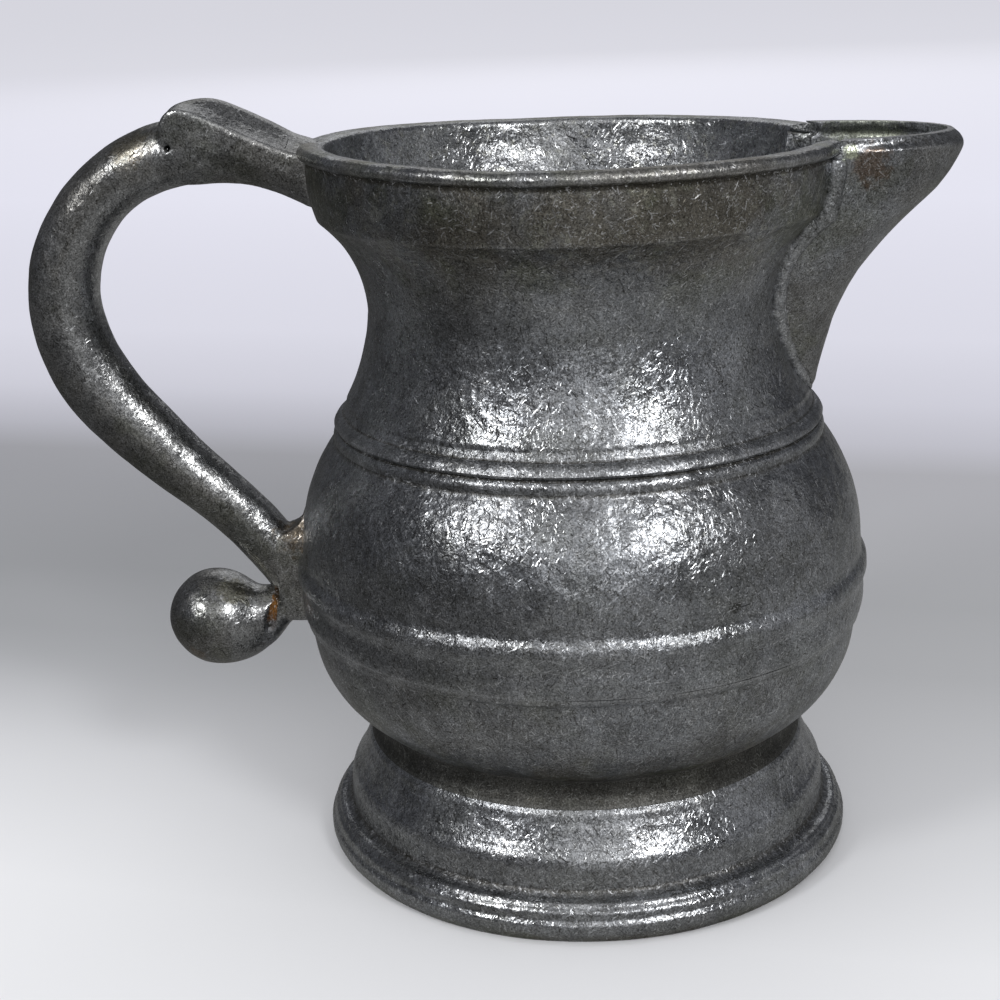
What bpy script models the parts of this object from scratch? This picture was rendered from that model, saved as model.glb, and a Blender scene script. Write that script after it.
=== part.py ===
# A small cast pewter cream jug: a turned body in two halves on a turned foot,
# with a cast spout, handle, thumb rest and ball terminal soldered on.
# Sizes are in millimetres and become metres where a mesh is made. The spout points
# along +X, the handle along -X, and the jug stands on its foot at height 0.
import math

import bmesh
import bpy
from mathutils import Vector

MM = 0.001
CLEARANCE = 0.3
TURNED_STEPS = 40

# heights of the body's parts, stacked from the table up
FOOT_HEIGHT = 18.4
BOWL_DEPTH = 14.8
BELT_DEPTH = 6.6
BELLY_DEPTH = 16.0
LOWER_BEAD_DEPTH = 1.8
UPPER_BEAD_DEPTH = 2.7
SHOULDER_DEPTH = 11.7
THROAT_DEPTH = 11.7
BAND_DEPTH = 6.4
LIP_DEPTH = 2.1

# outer radii of the body
BAND_RADIUS = 33.2
LIP_OVERHANG = 0.7
BAND_TAPER = 0.8
NECK_RADIUS = 26.2
SHOULDER_RADIUS = 29.8
BEAD_RADIUS = 30.9
BELLY_TOP_RADIUS = 31.5
BELLY_RADIUS = 37.0
WAIST_RADIUS = 28.0

# how far each stretch of the body's outline bows in or out of straight
BAND_CROWN = 0.45
THROAT_HOLLOW = 1.35
SHOULDER_HOLLOW = 0.62
UPPER_BEAD_CROWN = 0.45
LOWER_BEAD_CROWN = 0.3
BELLY_CROWN = 1.25
BELT_CROWN = 0.4
BOWL_CROWN = 2.2
BASE_CROWN = 1.4

# walls, steps and joints of the body
WALL = 2.4
RIM_WIDTH = 3.0
RIM_ROUNDING = 0.65
BAND_STEP = 0.5
BELT_STEP = 0.35
BOWL_BASE_DROP = 4.6
TONGUE_THICKNESS = 1.3
TONGUE_HEIGHT = 3.4

# foot
FOOT_EDGE_RADIUS = 34.95
FOOT_EDGE_HEIGHT = 2.9
FOOT_EDGE_UNDERCUT = 1.05
FOOT_BEAD_RISE = 1.1
FOOT_BEAD_STEP = 0.3
FOOT_BEAD_HEIGHT = 1.4
FOOT_BEAD_DEPTH = 0.7
FOOT_BEAD_CROWN = 0.25
FOOT_DRUM_RADIUS = 31.9
FOOT_DRUM_HEIGHT = 8.6
FOOT_DRUM_BASE = 7.2
FOOT_DRUM_CROWN = 0.75
FOOT_COVE_DEPTH = 2.5
FOOT_COVE_FLARE = 1.5
FOOT_WALL = 2.5
FOOT_REST_WIDTH = 3.0

# spout
SPOUT_REACH = 48.1
SPOUT_HALF_WIDTH = 12.6
SPOUT_WALL = 2.0
SPOUT_TOE_DROP = 1.3
SPOUT_FLARE = 3.5
SPOUT_SIDE_FLARE = 3.7
SPOUT_CHIN_DROP = 6.2
SPOUT_CHIN_INSET = 2.7
SPOUT_LEVELS = 12
SPOUT_FACETS = 12

# handle
HANDLE_REACH = 69.9
GRIP_THICKNESS = 9.0
GRIP_WIDTH = 9.6
GRIP_END_THICKNESS = 7.4
GRIP_END_WIDTH = 7.2
THUMB_REST_LENGTH = 17.2
THUMB_REST_RISE = 6.5
THUMB_REST_DEPTH = 4.3
THUMB_REST_WIDTH = 10.4
THUMB_REST_CROWN = 1.4
THUMB_REST_ROUNDING = 1.2
BRACKET_REACH = 6.6
BRACKET_RISE = 4.3
BRACKET_CROTCH = 5.0
BRACKET_DROP = 12.9
BRACKET_TAIL_RISE = 4.2
BRACKET_FACE = 4.6
BRACKET_WIDTH = 7.0
BRACKET_ROUNDING = 1.3

# ball terminal
BALL_RADIUS = 6.85
BALL_LENGTH = 6.5
BALL_DROP = 9.6
BALL_REACH = 12.3
BALL_NECK_RADIUS = 3.85
BALL_NECK_LENGTH = 2.1
BALL_NECK_HOLLOW = 0.2

# solder
SOLDER_THICKNESS = 0.7
SOLDER_FILLET = 0.4
SPOUT_SOLDER = 2.4
SPOUT_TOE_SOLDER = 1.6

# levels of the body's turned lines, from the stacked heights
SEAM_LEVEL = FOOT_HEIGHT + BOWL_DEPTH
BELT_LEVEL = SEAM_LEVEL + BELT_DEPTH
BELLY_LEVEL = BELT_LEVEL + BELLY_DEPTH
BEAD_LEVEL = BELLY_LEVEL + LOWER_BEAD_DEPTH
SHOULDER_LEVEL = BEAD_LEVEL + UPPER_BEAD_DEPTH
NECK_LEVEL = SHOULDER_LEVEL + SHOULDER_DEPTH
BAND_FOOT_LEVEL = NECK_LEVEL + THROAT_DEPTH
BAND_TOP_LEVEL = BAND_FOOT_LEVEL + BAND_DEPTH
RIM_LEVEL = BAND_TOP_LEVEL + LIP_DEPTH
TOE_LEVEL = SHOULDER_LEVEL - SPOUT_TOE_DROP
LIP_RADIUS = BAND_RADIUS + LIP_OVERHANG
JOINT = SOLDER_THICKNESS + 2 * CLEARANCE


def arc(start, end, bulge, steps):
    """Points after start as far as end, on an arc whose middle stands bulge to the left of its run."""
    start = Vector(start)
    end = Vector(end)
    chord = end - start
    if bulge == 0:
        return [tuple(start + chord * i / steps) for i in range(1, steps + 1)]
    side = Vector((-chord.y, chord.x)).normalized()
    radius = (chord.length ** 2 / 4 + bulge ** 2) / (2 * abs(bulge))
    centre = (start + end) / 2 + side * (bulge - math.copysign(radius, bulge))
    first = math.atan2(start.y - centre.y, start.x - centre.x)
    last = math.atan2(end.y - centre.y, end.x - centre.x)
    turn = (last - first + math.pi) % (2 * math.pi) - math.pi
    angles = [first + turn * i / steps for i in range(1, steps + 1)]
    return [(centre.x + radius * math.cos(a), centre.y + radius * math.sin(a)) for a in angles]


def outline(start, *runs):
    """A line of points from start through the end of each run, given as (x, z, bulge, steps)."""
    points = [start]
    for x, z, bulge, steps in runs:
        points += arc(points[-1], (x, z), bulge, steps)
    return points


def at_level(points, level):
    """The first coordinate of a line of points where it passes a level."""
    for (x0, z0), (x1, z1) in zip(points, points[1:]):
        if min(z0, z1) <= level <= max(z0, z1) and z0 != z1:
            return x0 + (x1 - x0) * (level - z0) / (z1 - z0)
    return min(points, key=lambda point: abs(point[1] - level))[0]


def at_radius(points, radius):
    """The level of a line of points where it passes a radius."""
    return at_level([(z, r) for r, z in points], radius)


# the outside of the upper body, from the rim down to the seam
lip_and_band = outline(
    (LIP_RADIUS - RIM_WIDTH, RIM_LEVEL - RIM_ROUNDING),
    (LIP_RADIUS - RIM_WIDTH + RIM_ROUNDING, RIM_LEVEL, RIM_ROUNDING / 4, 2),
    (BAND_RADIUS - LIP_OVERHANG / 2, RIM_LEVEL, 0, 1),
    (BAND_RADIUS, BAND_TOP_LEVEL, LIP_OVERHANG * 1.15, 6),
    (BAND_RADIUS - BAND_TAPER, BAND_FOOT_LEVEL + BAND_STEP, BAND_CROWN, 4),
    (BAND_RADIUS - BAND_TAPER - BAND_STEP, BAND_FOOT_LEVEL, 0, 1),
)
neck_and_beads = outline(
    lip_and_band[-1],
    (NECK_RADIUS, NECK_LEVEL, -THROAT_HOLLOW, 7),
    (SHOULDER_RADIUS, SHOULDER_LEVEL, -SHOULDER_HOLLOW, 5),
    (BEAD_RADIUS, BEAD_LEVEL, UPPER_BEAD_CROWN, 4),
    (BELLY_TOP_RADIUS, BELLY_LEVEL, LOWER_BEAD_CROWN, 3),
)
belly_and_belt = outline(
    neck_and_beads[-1],
    (BELLY_RADIUS - BELT_STEP / 2, BELT_LEVEL, BELLY_CROWN, 7),
    (BELLY_RADIUS + BELT_STEP / 2, BELT_LEVEL - BELT_STEP, 0, 1),
    (BELLY_RADIUS, SEAM_LEVEL, BELT_CROWN, 4),
)
upper_outside = lip_and_band + neck_and_beads[1:] + belly_and_belt[1:]

# the outside of the bowl, from the seam down to the middle of its base
bowl_outside = outline(
    (BELLY_RADIUS - BELT_STEP, SEAM_LEVEL - CLEARANCE),
    (WAIST_RADIUS, FOOT_HEIGHT, BOWL_CROWN, 8),
    (0, FOOT_HEIGHT - BOWL_BASE_DROP, BASE_CROWN, 4),
)
body_outside = upper_outside + bowl_outside
BORE_RADIUS = BELLY_RADIUS - BELT_STEP / 2 - WALL

# the spout seen from the side and from the front: its nose and half its width at each level
nose_line = outline(
    (at_level(body_outside, TOE_LEVEL) - SPOUT_WALL / 5, TOE_LEVEL),
    (SPOUT_REACH - SPOUT_CHIN_INSET, RIM_LEVEL - SPOUT_CHIN_DROP, SPOUT_FLARE, SPOUT_LEVELS),
    (SPOUT_REACH, RIM_LEVEL - SPOUT_WALL / 2, -SPOUT_WALL / 4, 3),
    (SPOUT_REACH - SPOUT_WALL * 0.15, RIM_LEVEL, 0, 1),
)
side_line = outline((0, TOE_LEVEL), (SPOUT_HALF_WIDTH, RIM_LEVEL, -SPOUT_SIDE_FLARE, SPOUT_LEVELS))


def collection(name):
    """A new collection in the scene."""
    group = bpy.data.collections.new(name)
    bpy.context.scene.collection.children.link(group)
    return group


def pewter(name, colour, roughness):
    """A cast pewter of the given colour."""
    material = bpy.data.materials.new(name)
    material.use_nodes = True
    shader = material.node_tree.nodes["Principled BSDF"]
    shader.inputs["Base Color"].default_value = (*colour, 1)
    shader.inputs["Metallic"].default_value = 1
    shader.inputs["Roughness"].default_value = roughness
    return material


def placed(name, mesh, material=None):
    """An object for a mesh on the jug's axis: a part with its material, or a cutter without one."""
    thing = bpy.data.objects.new(name, mesh)
    thing.parent = axis
    if material:
        mesh.materials.append(material)
        jug.objects.link(thing)
    else:
        thing.hide_render = True
        thing.display_type = "WIRE"
        cutters.objects.link(thing)
    return thing


def smoothed(mesh):
    """Shades a mesh smooth up to its sharp edges."""
    mesh.shade_smooth()
    mesh.set_sharp_from_angle(angle=math.radians(35))


def turned(name, profile, closed, material=None):
    """A profile of (radius, level) points turned about the upright axis with a Screw modifier."""
    count = len(profile)
    edges = [(i, (i + 1) % count) for i in range(count if closed else count - 1)]
    mesh = bpy.data.meshes.new(name)
    mesh.from_pydata([(r * MM, 0, z * MM) for r, z in profile], edges, [])
    thing = placed(name, mesh, material)
    screw = thing.modifiers.new("turn", "SCREW")
    screw.steps = TURNED_STEPS
    screw.render_steps = TURNED_STEPS
    screw.use_merge_vertices = True
    screw.merge_threshold = 0.000001
    return thing


def loft(name, sections, material=None):
    """A closed solid through sections of equally many points, flat at both ends."""
    shape = bmesh.new()
    rings = [[shape.verts.new(Vector(point) * MM) for point in section] for section in sections]
    for near, far in zip(rings, rings[1:]):
        for i in range(len(near)):
            j = (i + 1) % len(near)
            shape.faces.new((near[i], near[j], far[j], far[i]))
    shape.faces.new(reversed(rings[0]))
    shape.faces.new(rings[-1])
    bmesh.ops.recalc_face_normals(shape, faces=shape.faces)
    mesh = bpy.data.meshes.new(name)
    shape.to_mesh(mesh)
    shape.free()
    smoothed(mesh)
    return placed(name, mesh, material)


def from_curve(name, curve, material=None):
    """A curve made into one welded mesh, so that it can be cut."""
    draft = bpy.data.objects.new(name + "_draft", curve)
    bpy.context.scene.collection.objects.link(draft)
    bpy.context.view_layer.update()
    evaluated = draft.evaluated_get(bpy.context.evaluated_depsgraph_get())
    mesh = bpy.data.meshes.new_from_object(evaluated)
    mesh.transform(draft.matrix_world)
    bpy.data.objects.remove(draft)
    shape = bmesh.new()
    shape.from_mesh(mesh)
    bmesh.ops.remove_doubles(shape, verts=shape.verts, dist=0.000001)
    bmesh.ops.recalc_face_normals(shape, faces=shape.faces)
    shape.to_mesh(mesh)
    shape.free()
    smoothed(mesh)
    return placed(name, mesh, material)


def rod(name, points, radii, material=None):
    """A round bar along points, with its own radius at each."""
    curve = bpy.data.curves.new(name, "CURVE")
    curve.dimensions = "3D"
    curve.bevel_depth = MM
    curve.bevel_resolution = 3
    curve.use_fill_caps = True
    spline = curve.splines.new("POLY")
    spline.points.add(len(points) - 1)
    for point, place, radius in zip(spline.points, points, radii):
        point.co = (*(Vector(place) * MM), 1)
        point.radius = radius
    return from_curve(name, curve, material)


def plate(name, points, width, material=None):
    """An outline of (x, z) points in the jug's upright middle plane, given a width across it."""
    curve = bpy.data.curves.new(name, "CURVE")
    curve.dimensions = "2D"
    curve.fill_mode = "BOTH"
    curve.extrude = width / 2 * MM
    spline = curve.splines.new("POLY")
    spline.points.add(len(points) - 1)
    for point, (x, z) in zip(spline.points, points):
        point.co = (x * MM, z * MM, 0, 1)
    spline.use_cyclic_u = True
    thing = from_curve(name, curve, material)
    thing.rotation_euler = (math.pi / 2, 0, 0)
    return thing


def cut(thing, cutter):
    """Takes the cutter's shape out of a thing."""
    boolean = thing.modifiers.new("cut by " + cutter.name, "BOOLEAN")
    boolean.operation = "DIFFERENCE"
    boolean.object = cutter


def keep_inside(thing, cutter):
    """Keeps only what lies inside the cutter's shape."""
    boolean = thing.modifiers.new("keep in " + cutter.name, "BOOLEAN")
    boolean.operation = "INTERSECT"
    boolean.object = cutter


def body_volume(name, clearance):
    """The whole body as a solid, a clearance larger and carried up past the rim."""
    bead_level = RIM_LEVEL - LIP_DEPTH / 2
    top = RIM_LEVEL + 2 * THUMB_REST_RISE
    upright = LIP_RADIUS + clearance
    sides = [(r + clearance, z) for r, z in body_outside if z < bead_level]
    base = (0, sides[-1][1] - clearance)
    return turned(name, [(0, top), (upright, top), (upright, bead_level)] + sides[:-1] + [base], False)


def upper_body():
    """Lip, band, neck, beads, belly and belt in one wall, with a rebate for the bowl's tongue."""
    rebate_radius = BORE_RADIUS + TONGUE_THICKNESS + CLEARANCE
    rebate_level = SEAM_LEVEL + TONGUE_HEIGHT + CLEARANCE
    inside = outline(
        (rebate_radius, SEAM_LEVEL),
        (rebate_radius, rebate_level, 0, 1),
        (BORE_RADIUS, rebate_level, 0, 1),
        (BORE_RADIUS, BELT_LEVEL, 0, 1),
        (BELLY_TOP_RADIUS - WALL, BELLY_LEVEL, -BELLY_CROWN, 4),
        (NECK_RADIUS - WALL, NECK_LEVEL, THROAT_HOLLOW * 0.75, 4),
        (LIP_RADIUS - RIM_WIDTH, BAND_FOOT_LEVEL + BAND_DEPTH / 2, THROAT_HOLLOW, 4),
    )
    thing = turned("upper_body", upper_outside + inside, True, polished)
    cut(thing, trough)


def bowl():
    """The lower half of the body, its tongue standing inside the belt."""
    base = FOOT_HEIGHT - BOWL_BASE_DROP + WALL
    tongue_radius = BORE_RADIUS + TONGUE_THICKNESS
    inside = outline(
        (0, base),
        (WAIST_RADIUS - WALL * 0.7, FOOT_HEIGHT + WALL * 0.8, -BASE_CROWN, 4),
        (BORE_RADIUS, SEAM_LEVEL, -BOWL_CROWN * 0.85, 5),
        (BORE_RADIUS, SEAM_LEVEL + TONGUE_HEIGHT, 0, 1),
        (tongue_radius, SEAM_LEVEL + TONGUE_HEIGHT, 0, 1),
        (tongue_radius, SEAM_LEVEL - CLEARANCE, 0, 1),
    )
    turned("bowl", inside + bowl_outside, False, dull)


def foot():
    """A hollow foot and its solder: a cove, a rounded drum and three beads over an upright edge."""
    top_radius = WAIST_RADIUS - CLEARANCE
    seat_radius = top_radius - FOOT_WALL
    top_level = at_radius(bowl_outside, top_radius) - CLEARANCE
    seat_level = at_radius(bowl_outside, seat_radius) - CLEARANCE
    bead_radius = FOOT_EDGE_RADIUS - FOOT_BEAD_STEP
    bead_level = FOOT_EDGE_HEIGHT + FOOT_BEAD_RISE
    step = SOLDER_THICKNESS + CLEARANCE
    shell = outline(
        (top_radius, top_level - step),
        (top_radius + FOOT_COVE_FLARE, FOOT_HEIGHT - FOOT_COVE_DEPTH, 0, 1),
        (FOOT_DRUM_RADIUS, FOOT_DRUM_HEIGHT, FOOT_DRUM_CROWN, 5),
        (FOOT_DRUM_RADIUS, FOOT_DRUM_BASE, 0, 1),
        (bead_radius - 2 * FOOT_BEAD_DEPTH, bead_level + 1.4 * FOOT_BEAD_HEIGHT, -FOOT_BEAD_CROWN, 2),
        (bead_radius - FOOT_BEAD_DEPTH, bead_level + FOOT_BEAD_HEIGHT, FOOT_BEAD_CROWN, 2),
        (bead_radius, bead_level, FOOT_BEAD_CROWN, 3),
        (bead_radius, bead_level - FOOT_BEAD_CROWN, 0, 1),
        (FOOT_EDGE_RADIUS, FOOT_EDGE_HEIGHT, FOOT_BEAD_CROWN, 2),
        (FOOT_EDGE_RADIUS - FOOT_EDGE_UNDERCUT, 0, 0, 1),
        (FOOT_EDGE_RADIUS - FOOT_EDGE_UNDERCUT - FOOT_REST_WIDTH, 0, 0, 1),
        (FOOT_DRUM_RADIUS - FOOT_WALL, FOOT_DRUM_BASE, FOOT_BEAD_CROWN, 2),
        (FOOT_DRUM_RADIUS - FOOT_WALL, FOOT_DRUM_HEIGHT, 0, 1),
        (seat_radius, seat_level - step, -FOOT_DRUM_CROWN * 0.7, 3),
    )
    turned("foot", shell, True, dull)
    ring = [(top_radius, top_level), (top_radius, top_level - SOLDER_THICKNESS)]
    ring += [(seat_radius, seat_level - SOLDER_THICKNESS), (seat_radius, seat_level)]
    turned("foot_solder", ring, True, solder)


def spout_section(level, inset):
    """A level slice of the spout: a half oval from inside the body's wall out to the nose."""
    width = max(at_level(side_line, level) - inset, SPOUT_WALL / 4)
    nose = at_level(nose_line, level) - inset * 1.15
    wall_radius = at_level(body_outside, level)
    start = min(math.sqrt(wall_radius ** 2 - width ** 2) - SPOUT_WALL * 0.75, nose - SPOUT_WALL / 2)
    root = NECK_RADIUS * 0.6
    turns = [math.pi * (i / SPOUT_FACETS - 0.5) for i in range(SPOUT_FACETS + 1)]
    front = [(start + (nose - start) * math.cos(t) ** 0.93, width * math.sin(t)) for t in turns]
    return front + [(root, width), (root, -width)]


def spout_volume(name, inset, first, last, material=None):
    """The spout as a solid from one level up to another, its sides moved in by inset."""
    count = SPOUT_LEVELS + 2
    levels = [first + (RIM_LEVEL - first) * i / count for i in range(count + 1)]
    sections = [[(x, y, level) for x, y in spout_section(level, inset)] for level in levels]
    if last > RIM_LEVEL:
        sections.append([(x, y, last) for x, y, z in sections[-1]])
    return loft(name, sections, material)


def spout():
    """The cast spout, open above and towards the body."""
    thing = spout_volume("spout", 0, TOE_LEVEL, RIM_LEVEL, dull)
    cut(thing, trough)
    cut(thing, body_clearance)


def spout_solder():
    """The rounded bead of solder down one side of the spout and up the other."""
    top = RIM_LEVEL - LIP_DEPTH * 0.75
    bottom = TOE_LEVEL - 2 * CLEARANCE
    levels = [top - (top - TOE_LEVEL) * i / 14 for i in range(14)]
    near_side = []
    for level in levels:
        width = at_level(side_line, level) + CLEARANCE
        radius = at_level(body_outside, level) + CLEARANCE
        near_side.append((math.sqrt(radius ** 2 - width ** 2), -width, level))
    toe = (at_level(body_outside, bottom) + CLEARANCE, 0, bottom)
    far_side = [(x, -y, z) for x, y, z in reversed(near_side)]
    points = near_side + [toe] + far_side
    widths = [SPOUT_TOE_SOLDER + (SPOUT_SOLDER - SPOUT_TOE_SOLDER) * abs(y) / SPOUT_HALF_WIDTH
              for x, y, z in points]
    radii = [width / 2 for width in widths]
    thing = rod("spout_solder", points, radii, solder)
    cut(thing, body_clearance)
    cut(thing, spout_volume("spout_clearance", -CLEARANCE, TOE_LEVEL - CLEARANCE, RIM_LEVEL + SPOUT_WALL))


def grip_path():
    """The grip's middle line, from the thumb rest round to the lower bracket."""
    top_x = -(LIP_RADIUS + THUMB_REST_LENGTH)
    top_z = RIM_LEVEL - THUMB_REST_DEPTH + GRIP_THICKNESS * 0.42
    end_x = -(BELLY_RADIUS + BRACKET_REACH)
    end_z = BELT_LEVEL + BRACKET_RISE
    far_x = -(HANDLE_REACH - GRIP_THICKNESS / 2)
    upper = [(0, 1), (0.07, 1), (0.26, 0.982), (0.5, 0.925), (0.74, 0.845), (0.91, 0.755), (0.99, 0.655)]
    lower = [(1, 0.56), (0.94, 0.455), (0.8, 0.343), (0.6, 0.25), (0.39, 0.164), (0.18, 0.073), (0, 0)]
    path = [(top_x + (far_x - top_x) * out, end_z + (top_z - end_z) * up) for out, up in upper]
    path += [(end_x + (far_x - end_x) * out, end_z + (top_z - end_z) * up) for out, up in lower]
    return path


def handle_grip():
    """The curved grip, thickest in the palm and drawn in towards the lower bracket."""
    path = grip_path()
    shape = [0.95, 0.94, 0.9, 0.89, 0.91, 0.95, 0.99, 1.02, 1.05, 1.06, 1.01, 0.94]
    radii = [GRIP_THICKNESS / 2 * share for share in shape]
    radii += [(radii[-1] + GRIP_END_THICKNESS / 2) / 2, GRIP_END_THICKNESS / 2]
    thing = rod("handle_grip", [(x, 0, z) for x, z in path], radii, polished)
    top = path[0][1] * MM
    bottom = path[-1][1] * MM
    for vertex in thing.data.vertices:
        up = min(max((vertex.co.z - bottom) / (top - bottom), 0), 1)
        lower_share = GRIP_END_WIDTH / GRIP_END_THICKNESS
        vertex.co.y *= lower_share + (GRIP_WIDTH / GRIP_THICKNESS - lower_share) * min(2 * up, 1)


def thumb_rest_section(x, bottom, top, half):
    """An upright slice of the thumb rest, flat sided under a crowned top."""
    corner = bottom + THUMB_REST_ROUNDING
    shoulder = top - THUMB_REST_CROWN
    right = [(half * 0.55, bottom), (half, corner), (half, shoulder), (half * 0.55, top - THUMB_REST_CROWN / 4)]
    left = [(-y, z) for y, z in reversed(right)]
    return [(x, y, z) for y, z in right + [(0, top)] + left]


def thumb_rest_block(name, grow, material):
    """The raised block between the lip and the grip, with its hump above the grip's end."""
    butt = -(LIP_RADIUS + THUMB_REST_LENGTH - CLEARANCE)
    root = -(LIP_RADIUS - 2 * RIM_WIDTH)
    peak = RIM_LEVEL + THUMB_REST_RISE
    under = RIM_LEVEL - THUMB_REST_DEPTH - grow
    half = THUMB_REST_WIDTH / 2 + grow
    hump = [(0, 0.03, 0.4), (0.03, 0.04, 0.21), (0.1, 0.08, 0.06), (0.24, 0.11, 0), (0.38, 0.12, 0.1)]
    slope = [(0.5, 0.09, 0.29), (0.62, 0.02, 0.5), (0.76, -0.14, 0.75), (1, -0.55, 0.98)]
    sections = []
    for share, lift, drop in hump + slope:
        x = butt + (root - butt) * share
        bottom = under + THUMB_REST_RISE * lift
        sections.append(thumb_rest_section(x, bottom, peak - THUMB_REST_RISE * drop, half))
    return loft(name, sections, material)


def thumb_rest():
    """The thumb rest and the solder between it and the lip."""
    cut(thumb_rest_block("thumb_rest", 0, polished), handle_clearance)
    joint = thumb_rest_block("thumb_rest_solder", SOLDER_FILLET, solder)
    keep_inside(joint, solder_surface)
    cut(joint, body_clearance)


def bracket_block(name, grow, material):
    """The grip's end run down into a pad that stands on the belt."""
    end, before = Vector(grip_path()[-1]), Vector(grip_path()[-2])
    run = (end - before).normalized()
    side = Vector((-run.y, run.x)) * (GRIP_END_THICKNESS / 2)
    start = end + run * CLEARANCE
    face = -(BELLY_RADIUS + BRACKET_FACE + grow)
    root = -(BELLY_RADIUS - 2 * WALL)
    top = BELT_LEVEL + BRACKET_RISE * 0.7 + grow
    tail = BELT_LEVEL - BRACKET_DROP - grow
    points = outline(
        tuple(start - side),
        (face, BELT_LEVEL - BRACKET_CROTCH, BRACKET_ROUNDING * 0.7, 4),
        (face, tail + BRACKET_ROUNDING / 2, 0, 1),
        (face + BRACKET_ROUNDING * 0.8, tail, 0, 1),
        (-BELLY_RADIUS, tail + BRACKET_TAIL_RISE, BRACKET_ROUNDING / 5, 2),
        (root, tail + BRACKET_TAIL_RISE + BRACKET_ROUNDING, 0, 1),
        (root, top, 0, 1),
        (face + BRACKET_ROUNDING * 2, top, 0, 1),
        tuple(start + side) + (BRACKET_ROUNDING / 4, 3),
    )
    thing = plate(name, points, BRACKET_WIDTH + 2 * grow, material)
    rounding = thing.modifiers.new("rounded edges", "BEVEL")
    rounding.width = BRACKET_ROUNDING * MM
    rounding.segments = 2
    rounding.limit_method = "ANGLE"
    rounding.angle_limit = math.radians(60)
    return thing


def lower_bracket():
    """The lower bracket and the solder between it and the belly."""
    cut(bracket_block("lower_bracket", 0, dull), handle_clearance)
    joint = bracket_block("lower_bracket_solder", SOLDER_FILLET, solder)
    keep_inside(joint, solder_surface)
    cut(joint, body_clearance)


def ball_terminal():
    """The ball under the grip, its thick neck soldered to the bracket's face."""
    face = BELLY_RADIUS + BRACKET_FACE
    level = BELT_LEVEL - BALL_DROP
    neck_length = BALL_REACH - BRACKET_FACE - JOINT
    profile = outline(
        (0, neck_length),
        (BALL_NECK_RADIUS, neck_length, 0, 1),
        (BALL_RADIUS * 0.8, neck_length - BALL_NECK_LENGTH, -BALL_NECK_HOLLOW, 3),
        (BALL_RADIUS, 0, BALL_RADIUS * 0.06, 4),
        (0, -BALL_LENGTH, BALL_RADIUS * 0.285, 7),
    )
    ball = turned("ball_terminal", profile, False, polished)
    ball.location = (-(BELLY_RADIUS + BALL_REACH) * MM, 0, level * MM)
    ball.rotation_euler = (0, math.pi / 2, 0)
    bpy.ops.mesh.primitive_cylinder_add(vertices=TURNED_STEPS, radius=BALL_NECK_RADIUS * MM,
                                        depth=SOLDER_THICKNESS * MM)
    joint = bpy.context.object
    joint.name = "terminal_solder"
    joint.data.materials.append(solder)
    smoothed(joint.data)
    joint.parent = axis
    joint.location = (-(face + CLEARANCE + SOLDER_THICKNESS / 2) * MM, 0, level * MM)
    joint.rotation_euler = (0, math.pi / 2, 0)
    for group in list(joint.users_collection):
        group.objects.unlink(joint)
    jug.objects.link(joint)


for old in list(bpy.data.objects):
    bpy.data.objects.remove(old)

jug = collection("cream_jug")
cutters = collection("cutters")
axis = bpy.data.objects.new("jug_axis", None)
axis.location = ((HANDLE_REACH - SPOUT_REACH) / 2 * MM, 0, 0)
jug.objects.link(axis)

polished = pewter("worn pewter", (0.34, 0.35, 0.36), 0.38)
dull = pewter("dull pewter", (0.27, 0.28, 0.28), 0.5)
solder = pewter("solder", (0.38, 0.39, 0.39), 0.55)

body_clearance = body_volume("body_clearance", CLEARANCE)
solder_surface = body_volume("solder_surface", CLEARANCE + SOLDER_THICKNESS)
handle_clearance = body_volume("handle_clearance", JOINT)
trough = spout_volume("trough", SPOUT_WALL, TOE_LEVEL + 2 * SPOUT_WALL, RIM_LEVEL + SPOUT_WALL)

upper_body()
bowl()
foot()
spout()
spout_solder()
handle_grip()
thumb_rest()
lower_bracket()
ball_terminal()
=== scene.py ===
import math

import bpy
import numpy as np
from mathutils import Matrix, Vector
from mathutils.kdtree import KDTree


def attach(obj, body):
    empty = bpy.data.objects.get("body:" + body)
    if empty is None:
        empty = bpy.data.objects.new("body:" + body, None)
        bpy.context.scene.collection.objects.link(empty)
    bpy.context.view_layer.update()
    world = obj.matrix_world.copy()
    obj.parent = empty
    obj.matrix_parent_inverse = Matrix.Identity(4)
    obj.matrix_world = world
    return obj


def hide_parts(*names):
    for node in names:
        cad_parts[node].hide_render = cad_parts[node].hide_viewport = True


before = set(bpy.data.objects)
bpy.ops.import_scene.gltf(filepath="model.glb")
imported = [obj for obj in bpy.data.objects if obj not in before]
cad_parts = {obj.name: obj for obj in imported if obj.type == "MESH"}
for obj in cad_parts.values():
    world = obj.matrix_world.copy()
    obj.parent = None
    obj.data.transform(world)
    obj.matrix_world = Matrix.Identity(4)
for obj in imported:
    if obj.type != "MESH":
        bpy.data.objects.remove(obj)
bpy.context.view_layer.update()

mm = 0.001  # every size below is in millimetres
axisX = 10.9  # where the body's upright axis stands along X


def at(x, y, z):  # a place measured from the body's axis and the table
    return Vector(((axisX + x) * mm, y * mm, z * mm))


def deselectAll():
    bpy.ops.object.select_all(action="DESELECT")


def focus(piece):
    deselectAll()
    piece.select_set(True)
    bpy.context.view_layer.objects.active = piece


def editing(piece, select="SELECT"):
    focus(piece)
    bpy.ops.object.mode_set(mode="EDIT")
    bpy.ops.mesh.select_all(action=select)


def selectedWhere(piece, test):  # selects the vertices that pass a test of their place in millimetres
    editing(piece, "DESELECT")
    bpy.ops.object.mode_set(mode="OBJECT")
    for vertex in piece.data.vertices:
        x, y, z = vertex.co / mm
        vertex.select = test(x - axisX, y, z)
    bpy.ops.object.mode_set(mode="EDIT")


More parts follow.
